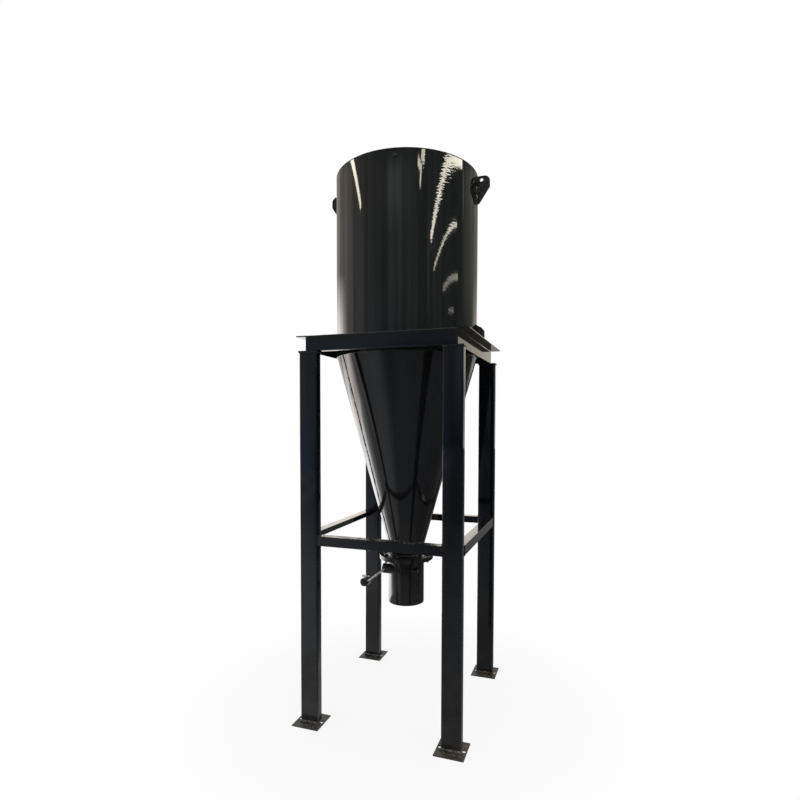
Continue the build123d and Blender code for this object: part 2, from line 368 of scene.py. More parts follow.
def turned(name, profile, steps=ROUND_STEPS, closed=True):
    """A round piece about the drum's axis: a circle taken along a profile of (radius, height) points.

    A closed profile is a wall that runs back to its start. An open one gets a flat face at each end."""
    start_clean()
    radius, height = profile[0]
    bpy.ops.mesh.primitive_circle_add(vertices=steps, radius=radius, location=(0, 0, height))
    piece = settle(bpy.context.object, name)
    bpy.ops.object.mode_set(mode="EDIT")
    bpy.ops.mesh.select_mode(type="EDGE")
    bpy.ops.mesh.select_all(action="SELECT")
    for (radius_a, height_a), (radius_b, height_b) in zip(profile, profile[1:]):
        bpy.ops.mesh.extrude_edges_move(TRANSFORM_OT_translate={"value": (0, 0, height_b - height_a)})
        widen = radius_b / radius_a
        bpy.ops.transform.resize(value=(widen, widen, 1), center_override=(0, 0, height_b))
    bpy.ops.mesh.select_all(action="DESELECT")
    bpy.ops.mesh.select_non_manifold()
    if closed:
        bpy.ops.mesh.bridge_edge_loops()
    else:
        bpy.ops.mesh.fill_holes(sides=0)
    bpy.ops.mesh.select_all(action="SELECT")
    bpy.ops.mesh.normals_make_consistent(inside=False)
    bpy.ops.object.mode_set(mode="OBJECT")
    return piece


def lay_along(piece, axis, place):
    """Turns an upright round piece to lie along an axis and moves it to its place."""
    use(piece)
    piece.rotation_euler = Vector(axis).to_track_quat("Z", "Y").to_euler()
    piece.location = place
    bpy.ops.object.transform_apply(location=True, rotation=True)


def select_edges_along(piece, axis):
    """Selects the edges that run along one axis (0, 1 or 2), in edit mode."""
    bpy.ops.object.mode_set(mode="OBJECT")
    mesh = piece.data
    for part in (*mesh.polygons, *mesh.vertices):
        part.select = False
    for edge in mesh.edges:
        a, b = (mesh.vertices[i].co for i in edge.vertices)
        run = b - a
        edge.select = abs(run[axis]) > PARALLEL * run.length
    bpy.ops.object.mode_set(mode="EDIT")
    bpy.ops.mesh.select_mode(type="EDGE")


def block(name, middle, size):
    """A plain block, the start of a tube, a wing or a cutter."""
    start_clean()
    bpy.ops.mesh.primitive_cube_add(size=1, location=middle)
    piece = bpy.context.object
    piece.scale = size
    return settle(piece, name)


def rolled_tube(name, node, axis, corner):
    """A rectangular tube with rolled corners, in the place of a node."""
    low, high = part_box(node)
    tube = block(name, (low + high) / 2, high - low)
    select_edges_along(tube, axis)
    bpy.ops.mesh.bevel(offset=corner, segments=CORNER_STEPS, affect="EDGES")
    bpy.ops.object.mode_set(mode="OBJECT")
    smooth(tube)
    dress(tube, STAND_PAINT, replaces=[node])


def roughen(lumps, seed):
    """Pushes the points of a bead about, in edit mode, and leaves it."""
    bpy.ops.mesh.select_all(action="SELECT")
    bpy.ops.transform.vertex_random(offset=lumps, uniform=0.3, normal=0.7, seed=seed)
    bpy.ops.object.mode_set(mode="OBJECT")


def bead(start, end, radius, lumps=BEAD_LUMPS):
    """A lumpy weld bead between two points."""
    start = Vector(start)
    end = Vector(end)
    run = end - start
    start_clean()
    bpy.ops.mesh.primitive_cylinder_add(
        vertices=BEAD_SIDES, radius=radius, depth=run.length, location=(start + end) / 2
    )
    piece = bpy.context.object
    select_edges_along(piece, 2)
    bpy.ops.mesh.subdivide(number_cuts=max(2, int(run.length / BEAD_PITCH)))
    mixed = sum(value * share for value, share in zip((*start, run.length), SEED_MIX))
    roughen(lumps, int(abs(mixed) * 10) % 1000)
    piece.rotation_euler = run.to_track_quat("Z", "Y").to_euler()
    return settle(piece, "bead")


def ring_bead(radius, height, thickness, seed):
    """A lumpy weld bead round the drum's axis."""
    start_clean()
    bpy.ops.mesh.primitive_torus_add(
        major_radius=radius,
        minor_radius=thickness,
        major_segments=int(2 * math.pi * radius / BEAD_PITCH),
        minor_segments=BEAD_SIDES,
        location=(0, 0, height),
    )
    piece = bpy.context.object
    bpy.ops.object.mode_set(mode="EDIT")
    roughen(RING_LUMPS, seed)
    return settle(piece, "ring_bead")


def joined(name, pieces):
    """Several meshes as one piece."""
    start_clean()
    for piece in pieces:
        piece.select_set(True)
    bpy.context.view_layer.objects.active = pieces[0]
    bpy.ops.object.join()
    piece = bpy.context.object
    piece.name = name
    piece.data.name = name
    smooth(piece, angle=60.0)
    return piece


def dress(piece, material, body=STAND, replaces=()):
    """Gives a finished piece its material and its body, and hides the nodes that it stands for."""
    piece.data.materials.clear()
    piece.data.materials.append(material)
    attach(piece, body)
    if replaces:
        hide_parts(*replaces)


# Materials


def add(tree, kind, **settings):
    """A shader node, with its properties and the values of its named inputs set."""
    made = tree.nodes.new(kind)
    for key, value in settings.items():
        if hasattr(made, key):
            setattr(made, key, value)
        else:
            made.inputs[key.replace("_", " ")].default_value = value
    return made


def group(name, inputs, output):
    """A node group with these number inputs and one number output."""
    tree = bpy.data.node_groups.new(name, "ShaderNodeTree")
    for label in inputs:
        tree.interface.new_socket(label, in_out="INPUT", socket_type="NodeSocketFloat")
    tree.interface.new_socket(output, in_out="OUTPUT", socket_type="NodeSocketFloat")
    return tree, tree.nodes.new("NodeGroupInput"), tree.nodes.new("NodeGroupOutput")


def new_material(name):
    material = bpy.data.materials.new(name)
    material.use_nodes = True
    return material, material.node_tree


def object_place(tree):
    return tree.nodes.new("ShaderNodeTexCoord").outputs["Object"]


def split(tree, vector):
    """The X, Y and Z outputs of a vector."""
    parts = tree.nodes.new("ShaderNodeSeparateXYZ")
    tree.links.new(vector, parts.inputs[0])
    return parts.outputs


def maths(tree, operation, a, b):
    """One operation on two values, each a number or another node's output."""
    made = add(tree, "ShaderNodeMath", operation=operation)
    for socket, value in zip(made.inputs, (a, b)):
        if isinstance(value, (int, float)):
            socket.default_value = value
        else:
            tree.links.new(value, socket)
    return made.outputs[0]


def noise(tree, vector, scale, detail, stretch=None):
    """Cloudy noise over the surface, its scale a number or another node's output."""
    if stretch:
        mapping = add(tree, "ShaderNodeMapping", Scale=stretch)
        tree.links.new(vector, mapping.inputs["Vector"])
        vector = mapping.outputs["Vector"]
    made = add(tree, "ShaderNodeTexNoise", Detail=detail)
    tree.links.new(vector, made.inputs["Vector"])
    if isinstance(scale, (int, float)):
        made.inputs["Scale"].default_value = scale
    else:
        tree.links.new(scale, made.inputs["Scale"])
    return made.outputs["Fac"]


def spread(tree, value, reach, result):
    """Stretches a range of values smoothly to another one."""
    made = add(tree, "ShaderNodeMapRange", interpolation_type="SMOOTHSTEP")
    labels = ("From Min", "From Max", "To Min", "To Max")
    for label, number in zip(labels, (*reach, *result)):
        made.inputs[label].default_value = number
    tree.links.new(value, made.inputs["Value"])
    return made.outputs["Result"]


def blended(tree, share, first, second):
    """A mix of two colours, each a colour or another node's output."""
    made = add(tree, "ShaderNodeMix", data_type="RGBA")
    tree.links.new(share, made.inputs[0])
    for socket, colour in ((made.inputs[6], first), (made.inputs[7], second)):
        if isinstance(colour, tuple):
            socket.default_value = (*colour, 1)
        else:
            tree.links.new(colour, socket)
    return made.outputs[2]


def brush_marks(tree, place):
    """Where the paint was laid on by brush: high on the drum's right front. Elsewhere it is nearly even."""
    from_spot = add(tree, "ShaderNodeMapping", Location=-BRUSHED_SPOT)
    tree.links.new(place, from_spot.inputs["Vector"])
    level = add(tree, "ShaderNodeVectorMath", operation="MULTIPLY")
    level.inputs[1].default_value = (1, 1, 0)
    tree.links.new(from_spot.outputs["Vector"], level.inputs[0])
    length = add(tree, "ShaderNodeVectorMath", operation="LENGTH")
    tree.links.new(level.outputs["Vector"], length.inputs[0])
    beside = spread(tree, length.outputs["Value"], (0.06, 0.11), (1.0, 0.15))
    above = spread(tree, split(tree, from_spot.outputs["Vector"])["Z"], (-0.2, -0.06), (0.25, 1.0))
    return maths(tree, "MULTIPLY", beside, above)


def paint_surface_group():
    """Height of the painted sheet in millimetres: long waves, brush marks, thick lumps and fine peel."""
    tree, given, out = group("paint_surface", ("Waves", "Lumps", "Ripple", "Peel"), "Height")
    place = object_place(tree)
    brushed = noise(tree, place, BRUSH_SCALE, 0.5, BRUSH_STRETCH)
    relief = {
        "Waves": noise(tree, place, WAVE_SCALE, 1.0, WAVE_STRETCH),
        "Lumps": noise(tree, place, LUMP_SCALE, 2.0),
        "Ripple": maths(tree, "MULTIPLY", brushed, brush_marks(tree, place)),
        "Peel": noise(tree, place, PEEL_SCALE, 1.0),
    }
    height = 0.0
    for label, shape in relief.items():
        height = maths(tree, "ADD", height, maths(tree, "MULTIPLY", shape, given.outputs[label]))
    tree.links.new(height, out.inputs["Height"])
    return tree


def workshop_dust_group():
    """Mask of dust: settled in patches on faces that look up, and a thin film low on the stand's front."""
    tree, given, out = group("workshop_dust", ("Settled", "Film", "Patch size"), "Mask")
    place = object_place(tree)
    normal = tree.nodes.new("ShaderNodeNewGeometry").outputs["Normal"]
    looks_up = maths(tree, "MAXIMUM", split(tree, normal)["Z"], 0.0)
    patches = spread(tree, noise(tree, place, given.outputs["Patch size"], 5.0), (0.38, 0.68), (0.15, 1.0))
    speckle = spread(tree, noise(tree, place, SPECKLE_SCALE, 2.0), (0.4, 0.68), (0.3, 1.9))
    settled = maths(tree, "MULTIPLY", maths(tree, "MULTIPLY", patches, speckle), looks_up)
    settled = maths(tree, "MULTIPLY", settled, given.outputs["Settled"])

    spot = split(tree, place)
    low = spread(tree, spot["Z"], (0.1, 1.35), (1.0, 0.0))
    splashed = spread(tree, spot["Z"], (0.03, 0.2), (1.3, 0.0))
    cloudy = spread(tree, noise(tree, place, FILM_SCALE, 4.0), (0.3, 0.7), (0.6, 1.25))
    in_front = spread(tree, spot["Y"], (-0.25, 0.3), (0.95, 0.4))
    reach = maths(tree, "MULTIPLY", maths(tree, "ADD", low, splashed), cloudy)
    film = maths(tree, "MULTIPLY", maths(tree, "MULTIPLY", reach, in_front), given.outputs["Film"])
    mask = maths(tree, "MINIMUM", maths(tree, "ADD", settled, film), 1.0)
    tree.links.new(mask, out.inputs["Mask"])
    return tree


PAINT_SURFACE = paint_surface_group()
WORKSHOP_DUST = workshop_dust_group()


def earthy_dust(tree, place, earth):
    """The dust's colour where earth was blown in at the stand's right: brown in streaks."""
    blown_in = spread(tree, split(tree, place)["X"], (0.3, 0.43), (0.12, earth))
    streaky = spread(tree, noise(tree, place, STREAK_SCALE, 3.0), (0.36, 0.56), (0.2, 1.0))
    return blended(tree, maths(tree, "MULTIPLY", blown_in, streaky), DUST_COLOUR, EARTH_COLOUR)


def black_paint(
    name, colour, gloss, waves, ripple=0.02, peel=0.006, lumps=0.0, settled=0.06, film=0.0,
    patch=PATCH_SCALE, earth=0.0,
):
    """Gloss black paint: dark base, a wavy mirror, and a little dust, which earth may turn brown."""
    material, tree = new_material(name)
    paint = tree.nodes["Principled BSDF"]
    paint.inputs["IOR"].default_value = PAINT_IOR

    surface = add(
        tree, "ShaderNodeGroup", node_tree=PAINT_SURFACE, Waves=waves, Ripple=ripple, Peel=peel, Lumps=lumps
    )
    bump = add(tree, "ShaderNodeBump", Distance=BUMP_UNIT, Strength=1.0)
    tree.links.new(surface.outputs["Height"], bump.inputs["Height"])
    tree.links.new(bump.outputs["Normal"], paint.inputs["Normal"])

    place = object_place(tree)
    dust = add(
        tree, "ShaderNodeGroup", node_tree=WORKSHOP_DUST, Settled=settled, Film=film, Patch_size=patch
    )
    mask = dust.outputs["Mask"]
    dust_colour = earthy_dust(tree, place, earth) if earth else DUST_COLOUR
    tree.links.new(blended(tree, mask, colour, dust_colour), paint.inputs["Base Color"])

    cloudy = maths(tree, "MULTIPLY", noise(tree, place, CLOUD_SCALE, 4.0), CLOUD_ROUGHNESS)
    matt = maths(tree, "MULTIPLY", mask, DUST_ROUGHNESS)
    rough = maths(tree, "ADD", maths(tree, "ADD", cloudy, matt), gloss)
    tree.links.new(maths(tree, "MINIMUM", rough, ROUGHEST), paint.inputs["Roughness"])
    return material


def zinc(name):
    """Bright zinc-plated steel, spangled and a little dull in places."""
    material, tree = new_material(name)
    metal = tree.nodes["Principled BSDF"]
    metal.inputs["Metallic"].default_value = ZINC_METALLIC
    place = object_place(tree)
    ramp = tree.nodes.new("ShaderNodeValToRGB")
    ramp.color_ramp.elements[0].color = (*ZINC_DULL, 1)
    ramp.color_ramp.elements[1].color = (*ZINC_BRIGHT, 1)
    tree.links.new(noise(tree, place, SPANGLE_SCALE, 3.0), ramp.inputs["Fac"])
    tree.links.new(ramp.outputs["Color"], metal.inputs["Base Color"])
    haze = maths(tree, "MULTIPLY", noise(tree, place, ZINC_HAZE_SCALE, 2.0), ZINC_HAZE)
    tree.links.new(maths(tree, "ADD", haze, ZINC_ROUGHNESS), metal.inputs["Roughness"])
    return material


DRUM_PAINT = black_paint(
    "drum_black_paint", DRUM_BLACK, gloss=0.015, waves=0.7, ripple=0.16, peel=0.004, settled=0.04
)
CONE_PAINT = black_paint(
    "cone_black_paint", CONE_BLACK, gloss=0.07, waves=0.5, ripple=0.05, settled=0.04, film=0.05
)
STAND_PAINT = black_paint("stand_black_paint", STAND_BLACK_AND_SKY_TINT, gloss=0.05, waves=0.12, film=0.06)
BRACE_PAINT = black_paint("dusty_brace_paint", STAND_BLACK_AND_SKY_TINT, gloss=0.05, waves=0.12, settled=0.5, film=0.06)
VALVE_PAINT = black_paint("valve_black_paint", VALVE_BLACK, gloss=0.07, waves=0.1, film=0.03)
PLATE_PAINT = black_paint(
    "dusty_base_paint", PLATE_BLACK, gloss=0.22, waves=0.1, ripple=0.12, peel=0.05, settled=0.42, film=0.06,
    patch=62.0, earth=1.0,
)
WELD_PAINT = black_paint(
    "painted_weld", WELD_BLACK, gloss=0.12, waves=0.05, ripple=0.25, peel=0.02, settled=0.1, film=0.05
)
FOOT_WELD_PAINT = black_paint(
    "dusty_weld", FOOT_BLACK, gloss=0.2, waves=0.05, ripple=0.3, peel=0.05, settled=0.9, film=0.2,
    patch=60.0, earth=0.6,
)
BRACKET_PAINT = black_paint(
    "bracket_black_paint", BRACKET_BLACK, gloss=0.1, waves=0.3, ripple=0.0, peel=0.02, lumps=3.4
)
ZINC = zinc("bright_zinc")


# Drum, lid and outlet


def outward(azimuth):
    """The level direction away from the drum's axis."""
    return Vector((math.cos(azimuth), math.sin(azimuth), 0))


def at_height(height):
    return Vector((0, 0, height))


def make_drum():
    """The rolled drum with the inlet's mouth cut into it."""
    low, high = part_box("drum_shell")
    radius = high.x
    climb = [low.z + (high.z - low.z) * row / DRUM_ROWS for row in range(DRUM_ROWS + 1)]
    drum = turned("drum", sheet_wall([(radius, height) for height in climb], DRUM_WALL))

    duct_low, duct_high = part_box("inlet_duct")
    mouth = duct_high - duct_low - 2 * INLET_WALL * Vector((1, 0, 1))
    cut_away(drum, block("inlet_cutter", (duct_low + duct_high) / 2, mouth))
    smooth(drum)
    dress(drum, DRUM_PAINT, replaces=["drum_shell"])


def make_lid_and_outlet():
    """The lid, the outlet that dips through it and the outlet's collar."""
    low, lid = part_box("top_plate")
    neck_low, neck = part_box("outlet_pipe")
    collar_low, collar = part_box("outlet_flange")
    neck_sheet = sheet_wall([(neck.x, neck_low.z), (neck.x, neck.z)], OUTLET_WALL)
    for name, node, profile, edge in (
        ("lid", "top_plate", ring_wall(neck.x, lid.x, low.z, lid.z), LID_EDGE),
        ("outlet_neck", "outlet_pipe", neck_sheet, SHEET_EDGE),
        ("outlet_collar", "outlet_flange", ring_wall(neck.x, collar.x, collar_low.z, collar.z), FLANGE_EDGE),
    ):
        piece = turned(name, profile)
        round_edges(piece, edge)
        dress(piece, DRUM_PAINT, replaces=[node])


def make_drum_welds():
    """The drum's long seam, and the rings round the outlet."""
    low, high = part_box("drum_shell")
    across = outward(DRUM_SEAM_AZIMUTH) * high.x
    foot = across + at_height(low.z + BEAD_GAP)
    head = across + at_height(high.z - BEAD_GAP)
    seam = bead(foot, head, WELD["drum_seam"])
    dress(joined("drum_seam_weld", [seam]), WELD_PAINT)

    round_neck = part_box("outlet_pipe")[1].x + BEAD_SEAT
    on_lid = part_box("top_plate")[1].z + BEAD_SEAT
    under_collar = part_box("outlet_flange")[0].z - BEAD_SEAT
    rings = [
        ring_bead(round_neck, on_lid, WELD["lid"], seed=3),
        ring_bead(round_neck, under_collar, WELD["collar"], seed=4),
    ]
    dress(joined("outlet_welds", rings), WELD_PAINT)


# Cone and its seams


def make_cone():
    low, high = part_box("cone")
    top = high.x
    shares = [row / CONE_ROWS for row in range(CONE_ROWS + 1)]
    climb = [(CONE_FOOT + (top - CONE_FOOT) * share, low.z + (high.z - low.z) * share) for share in shares]
    cone = turned("cone_shell", sheet_wall(climb, CONE_WALL))
    smooth(cone)
    dress(cone, CONE_PAINT, replaces=["cone"])

    across = outward(CONE_SEAM_AZIMUTH)
    foot = across * CONE_FOOT + at_height(low.z)
    seam = bead(foot, across * top + at_height(high.z), WELD["cone_seam"])
    dress(joined("cone_seam_weld", [seam]), WELD_PAINT)

    girth = [
        ring_bead(top - CONE_HEAD_INSET, high.z, WELD["cone_head"], seed=5),
        ring_bead(CONE_FOOT + CONE_FOOT_OUTSET, low.z + CONE_FOOT_LIFT, WELD["cone_foot"], seed=6),
    ]
    dress(joined("cone_girth_welds", girth), WELD_PAINT)


# Flanges, bolts and discharge pipe


def make_discharge():
    """The flange pair, the discharge pipe and its weld."""
    spout_low, spout_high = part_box("discharge_pipe")
    radius = spout_high.x
    for name, node, bore in (
        ("upper_flange", "cone_flange", CONE_FOOT - CONE_WALL),
        ("lower_flange", "valve_flange", radius - PIPE_WALL),
    ):
        low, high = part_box(node)
        flange = turned(name, ring_wall(bore, high.x, low.z, high.z))
        round_edges(flange, FLANGE_EDGE)
        dress(flange, VALVE_PAINT, replaces=[node])

    sheet = sheet_wall([(radius, spout_low.z), (radius, spout_high.z)], PIPE_WALL)
    spout = turned("discharge_spout", sheet, PIPE_STEPS)
    round_edges(spout, SHEET_EDGE)
    dress(spout, VALVE_PAINT, replaces=["discharge_pipe"])

    neck = ring_bead(radius + BEAD_SEAT, spout_high.z - BEAD_SEAT, WELD["spout"], seed=8)
    dress(joined("spout_weld", [neck]), WELD_PAINT)


def hexagon(low, high):
    """A hexagon head or nut, its edges broken."""
    start_clean()
    bpy.ops.mesh.primitive_cylinder_add(
        vertices=6, radius=HEXAGON_RADIUS, depth=high - low, location=(0, 0, (low + high) / 2)
    )
    head = settle(bpy.context.object, "hexagon")
    break_edges(head, FLANGE_EDGE)
    return head


def make_flange_bolts():
    """One bolt with washers and nut, then its copies round the flange pair."""
    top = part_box("cone_flange")[1].z
    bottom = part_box("valve_flange")[0].z
    head = top + WASHER
    nut = bottom - WASHER
    end = bottom - BOLT_REACH
    shank = [(BOLT_RADIUS, top), (BOLT_RADIUS, end), (BOLT_TIP_RADIUS, end - BOLT_TIP)]
    pieces = [
        turned("washer", ring_wall(BOLT_RADIUS, WASHER_RADIUS, top, head), WASHER_STEPS),
        hexagon(head, head + HEAD_HEIGHT),
        turned("lower_washer", ring_wall(BOLT_RADIUS, WASHER_RADIUS, bottom, nut), WASHER_STEPS),
        hexagon(nut - NUT_HEIGHT, nut),
        turned("shank", shank, SHANK_STEPS, closed=False),
    ]
    bolts = [joined("flange_bolts", pieces)]
    while len(bolts) < BOLT_COUNT:
        use(bolts[0])
        bpy.ops.object.duplicate()
        bolts.append(bpy.context.object)
    for count, bolt in enumerate(bolts):
        turn = 2 * math.pi * count / BOLT_COUNT
        use(bolt)
        bolt.rotation_euler = (0, 0, turn)
        bolt.location = outward(turn) * BOLT_CIRCLE
        bpy.ops.object.transform_apply(location=True, rotation=True)
    dress(joined("flange_bolts", bolts), VALVE_PAINT)


# Flap valve: bearings, bent lever rod, counterweight and wing screw


def shaft_line():
    """A point of the flap's shaft in the middle of the pipe."""
    low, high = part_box("lever_rod")
    return Vector((0, high.y - ROD_RADIUS, (low.z + high.z) / 2))


def make_bearings():
    """A grooved bush with a lipped mouth on the left, a closed boss on the right, both cut to the pipe."""
    shaft = shaft_line()
    bore = ROD_RADIUS + ROD_CLEARANCE

    low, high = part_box("left_bearing")
    reach = (high.z - low.z) / 2
    length = high.x - low.x
    groove = reach - GROOVE_DEPTH
    start, sunk, rise, end = (length * share for share in GROOVE)
    inside = length - BUSH_RECESS
    profile = [
        (bore, 0), (reach, 0), (reach, start), (groove, sunk), (groove, rise), (reach, end), (reach, length),
        (reach * BUSH_MOUTH, length), (reach * BUSH_THROAT, inside), (bore, inside),
    ]
    bush = turned("left_bush", profile, BUSH_STEPS)
    lay_along(bush, (-1, 0, 0), (high.x, shaft.y, shaft.z))

    low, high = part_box("right_bearing")
    reach = (high.z - low.z) / 2
    length = high.x - low.x
    inside = length - BOSS_CAP
    end = [(BOSS_EYE, length), (BOSS_EYE, inside), (bore, inside)]
    profile = [(bore, 0), (reach, 0), (reach, length)] + end
    boss = turned("right_bush", profile, BOSS_STEPS)
    lay_along(boss, (1, 0, 0), (low.x, shaft.y, shaft.z))

    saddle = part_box("discharge_pipe")[1].x - SADDLE_SINK
    for piece, node in ((bush, "left_bearing"), (boss, "right_bearing")):
        start_clean()
        bpy.ops.mesh.primitive_cylinder_add(
            vertices=PIPE_STEPS, radius=saddle, depth=SADDLE_HEIGHT, location=(0, 0, shaft.z)
        )
        cut_away(piece, bpy.context.object)
        round_edges(piece, FLANGE_EDGE)
        dress(piece, VALVE_PAINT, replaces=[node])


def make_bent_lever():
    """One rod: the flap's shaft, a bend, and the lever that reaches forward."""
    low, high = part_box("lever_rod")
    shaft = shaft_line()
    bend_x = low.x + ROD_RADIUS + ROD_BEND
    bend_y = shaft.y - ROD_BEND
    start_clean()
    bpy.ops.mesh.primitive_circle_add(
        vertices=ROD_SIDES,
        radius=ROD_RADIUS,
        fill_type="NGON",
        location=(high.x, shaft.y, shaft.z),
        rotation=(0, math.pi / 2, 0),
    )
    rod = settle(bpy.context.object, "bent_lever")
    bpy.ops.object.mode_set(mode="EDIT")
    bpy.ops.mesh.select_all(action="SELECT")
    bpy.ops.mesh.extrude_region_move(TRANSFORM_OT_translate={"value": (bend_x - high.x, 0, 0)})
    bpy.ops.mesh.spin(
        steps=ROD_BEND_STEPS, angle=math.pi / 2, center=(bend_x, bend_y, shaft.z), axis=(0, 0, 1)
    )
    bpy.ops.mesh.extrude_region_move(TRANSFORM_OT_translate={"value": (0, low.y - bend_y, 0)})
    bpy.ops.mesh.select_all(action="SELECT")
    bpy.ops.mesh.remove_doubles(threshold=MERGE_DISTANCE)
    bpy.ops.mesh.normals_make_consistent(inside=False)
    bpy.ops.object.mode_set(mode="OBJECT")
    round_edges(rod, ROD_EDGE)
    dress(rod, ZINC, VALVE, ["lever_rod"])


def make_counterweight():
    """A turned weight with a rounded nose."""
    low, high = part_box("counterweight")
    reach = (high.z - low.z) / 2
    length = high.y - low.y
    profile = [
        (reach, 0), (reach, length - WEIGHT_NOSE),
        (reach - SHOULDER_INSET, length - SHOULDER_LENGTH), (reach - NOSE_INSET, length),
    ]
    weight = turned("turned_weight", profile, WEIGHT_STEPS, closed=False)
    lay_along(weight, (0, -1, 0), ((low.x + high.x) / 2, high.y, (low.z + high.z) / 2))
    round_edges(weight, FLANGE_EDGE)
    dress(weight, VALVE_PAINT, VALVE, ["counterweight"])


def make_wing_screw():
    """The clamp screw: a stem and a wing that dips in the middle."""
    low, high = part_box("clamp_screw")
    middle = (low + high) / 2
    wing_foot = high.z - WING_HEIGHT
    rise = [(STEM_RADIUS, low.z), (STEM_RADIUS, wing_foot + STEM_IN_WING)]
    stem = turned("stem", rise, STEM_STEPS, closed=False)
    lay_along(stem, (0, 0, 1), (middle.x, middle.y, 0))

    wing_middle = (middle.x, middle.y, (wing_foot + high.z) / 2)
    wing = block("wing", wing_middle, (high.x - low.x, WING_THICKNESS, high.z - wing_foot))
    select_edges_along(wing, 0)
    bpy.ops.mesh.subdivide(number_cuts=WING_CUTS)
    bpy.ops.object.mode_set(mode="OBJECT")
    for vertex in wing.data.vertices:
        vertex.select = abs(vertex.co.x - middle.x) < NEAR and vertex.co.z > high.z - NEAR
    bpy.ops.object.mode_set(mode="EDIT")
    bpy.ops.mesh.select_mode(type="VERT")
    bpy.ops.transform.translate(value=(0, 0, -WING_DIP))
    bpy.ops.object.mode_set(mode="OBJECT")
    break_edges(wing, WING_EDGE, WING_EDGE_STEPS)
    dress(joined("wing_screw", [wing, stem]), ZINC, VALVE, ["clamp_screw"])


# Stand


def make_stand():
    """Legs and beams of rolled tube."""
    for corner in CORNERS:
        rolled_tube(f"{corner}_post", f"{corner}_leg", 2, LEG_CORNER)
    for end in ENDS:
        rolled_tube(f"{end}_cross_beam", f"{end}_beam", 0, BEAM_CORNER)


def make_stand_welds():
    """Beads round the legs' feet and heads, and where the braces and the beams meet the legs."""
    feet = []
    beads = []
    for corner in CORNERS:
        low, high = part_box(f"{corner}_leg")
        head = high.z - BEAD_SEAT
        spots = [(low.x, low.y), (high.x, low.y), (high.x, high.y), (low.x, high.y)]
        for (xa, ya), (xb, yb) in zip(spots, spots[1:] + spots[:1]):
            if xa != xb:
                seat, thick, lumps = low.z + WIDE_BEAD_SEAT, WELD["foot_wide"], FOOT_LUMPS
            else:
                seat, thick, lumps = low.z + BEAD_SEAT, WELD["foot_narrow"], BEAD_LUMPS
            feet.append(bead((xa, ya, seat), (xb, yb, seat), thick, lumps))
            beads.append(bead((xa, ya, head), (xb, yb, head), WELD["leg_head"]))
    dress(joined("foot_welds", feet), FOOT_WELD_PAINT)

    for end in ENDS:
        low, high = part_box(f"{end}_brace")
        face = low.y if end == "front" else high.y
        for x in (low.x, high.x):
            beads.append(bead((x, face, low.z), (x, face, high.z), WELD["brace_face"]))
            beads.append(bead((x, low.y, high.z), (x, high.y, high.z), WELD["brace_top"]))
        low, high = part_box(f"{end}_beam")
        face = low.y if end == "front" else high.y
        foot = low.z + BEAD_GAP
        head = high.z - BEAD_GAP
        for x in (low.x, high.x):
            beads.append(bead((x, face, foot), (x, face, head), WELD["beam_face"]))
            beads.append(bead((x, low.y, low.z), (x, high.y, low.z), WELD["beam_under"]))
    for side in SIDES:
        low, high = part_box(f"{side}_brace")
        face = low.x if side == "left" else high.x
        for y in (low.y, high.y):
            beads.append(bead((face, y, low.z), (face, y, high.z), WELD["brace_face"]))
            beads.append(bead((low.x, y, high.z), (high.x, y, high.z), WELD["brace_top"]))
    dress(joined("stand_welds", beads), WELD_PAINT)


# Brackets and plug on the drum


def bracket_beads(radius, side, sign):
    """Beads where the lug and the ear of one side meet the drum."""
    wall = sign * radius
    beads = []
    low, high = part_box(f"{side}_lifting_lug")
    for y in (low.y, high.y):
        beads.append(bead((wall, y, low.z), (wall, y, high.z), WELD["lug"], LUG_LUMPS))
    low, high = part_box(f"{side}_support_ear")
    for y in (-EAR_HALF_RIB, EAR_HALF_RIB):
        beads.append(bead((wall, y, low.z + EAR_PAD), (wall, y, high.z), WELD["ear"]))
    inner = sign * (radius + EAR_BEAD_START)
    outer = high.x if sign > 0 else low.x
    seat = low.z + BEAD_SEAT
    for y in (low.y, high.y):
        beads.append(bead((inner, y, seat), (outer, y, seat), WELD["ear"]))
    return beads


def inlet_beads(radius):
    """Beads round the inlet at the drum and at its flange."""
    low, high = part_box("inlet_duct")
    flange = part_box("inlet_flange")[0].y
    beads = []
    for x in (low.x, high.x):
        y = math.sqrt(radius**2 - x**2)
        beads.append(bead((x, y, low.z), (x, y, high.z), WELD["inlet"]))
    steps = [low.x + (high.x - low.x) * step / INLET_STEPS for step in range(INLET_STEPS + 1)]
    for z in (low.z, high.z):
        points = [(x, math.sqrt(radius**2 - x**2), z) for x in steps]
        for start, end in zip(points, points[1:]):
            beads.append(bead(start, end, WELD["inlet"]))
        beads.append(bead((low.x, flange, z), (high.x, flange, z), WELD["inlet_flange"]))
    for x in (low.x, high.x):
        beads.append(bead((x, flange, low.z), (x, flange, high.z), WELD["inlet_flange"]))
    return beads


def make_bracket_welds():
    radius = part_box("drum_shell")[1].x
    beads = bracket_beads(radius, "left", -1) + bracket_beads(radius, "right", 1) + inlet_beads(radius)
    dress(joined("drum_bracket_welds", beads), WELD_PAINT)


def make_drum_plug():
    """The small round plug."""
    away = outward(PLUG_AZIMUTH)
    plug = turned("drum_plug", PLUG_PROFILE, PLUG_STEPS, closed=False)
    lay_along(plug, away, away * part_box("drum_shell")[1].x + at_height(PLUG_HEIGHT))
    round_edges(plug, SHEET_EDGE)
    dress(plug, DRUM_PAINT)


# Nodes that keep their own shape


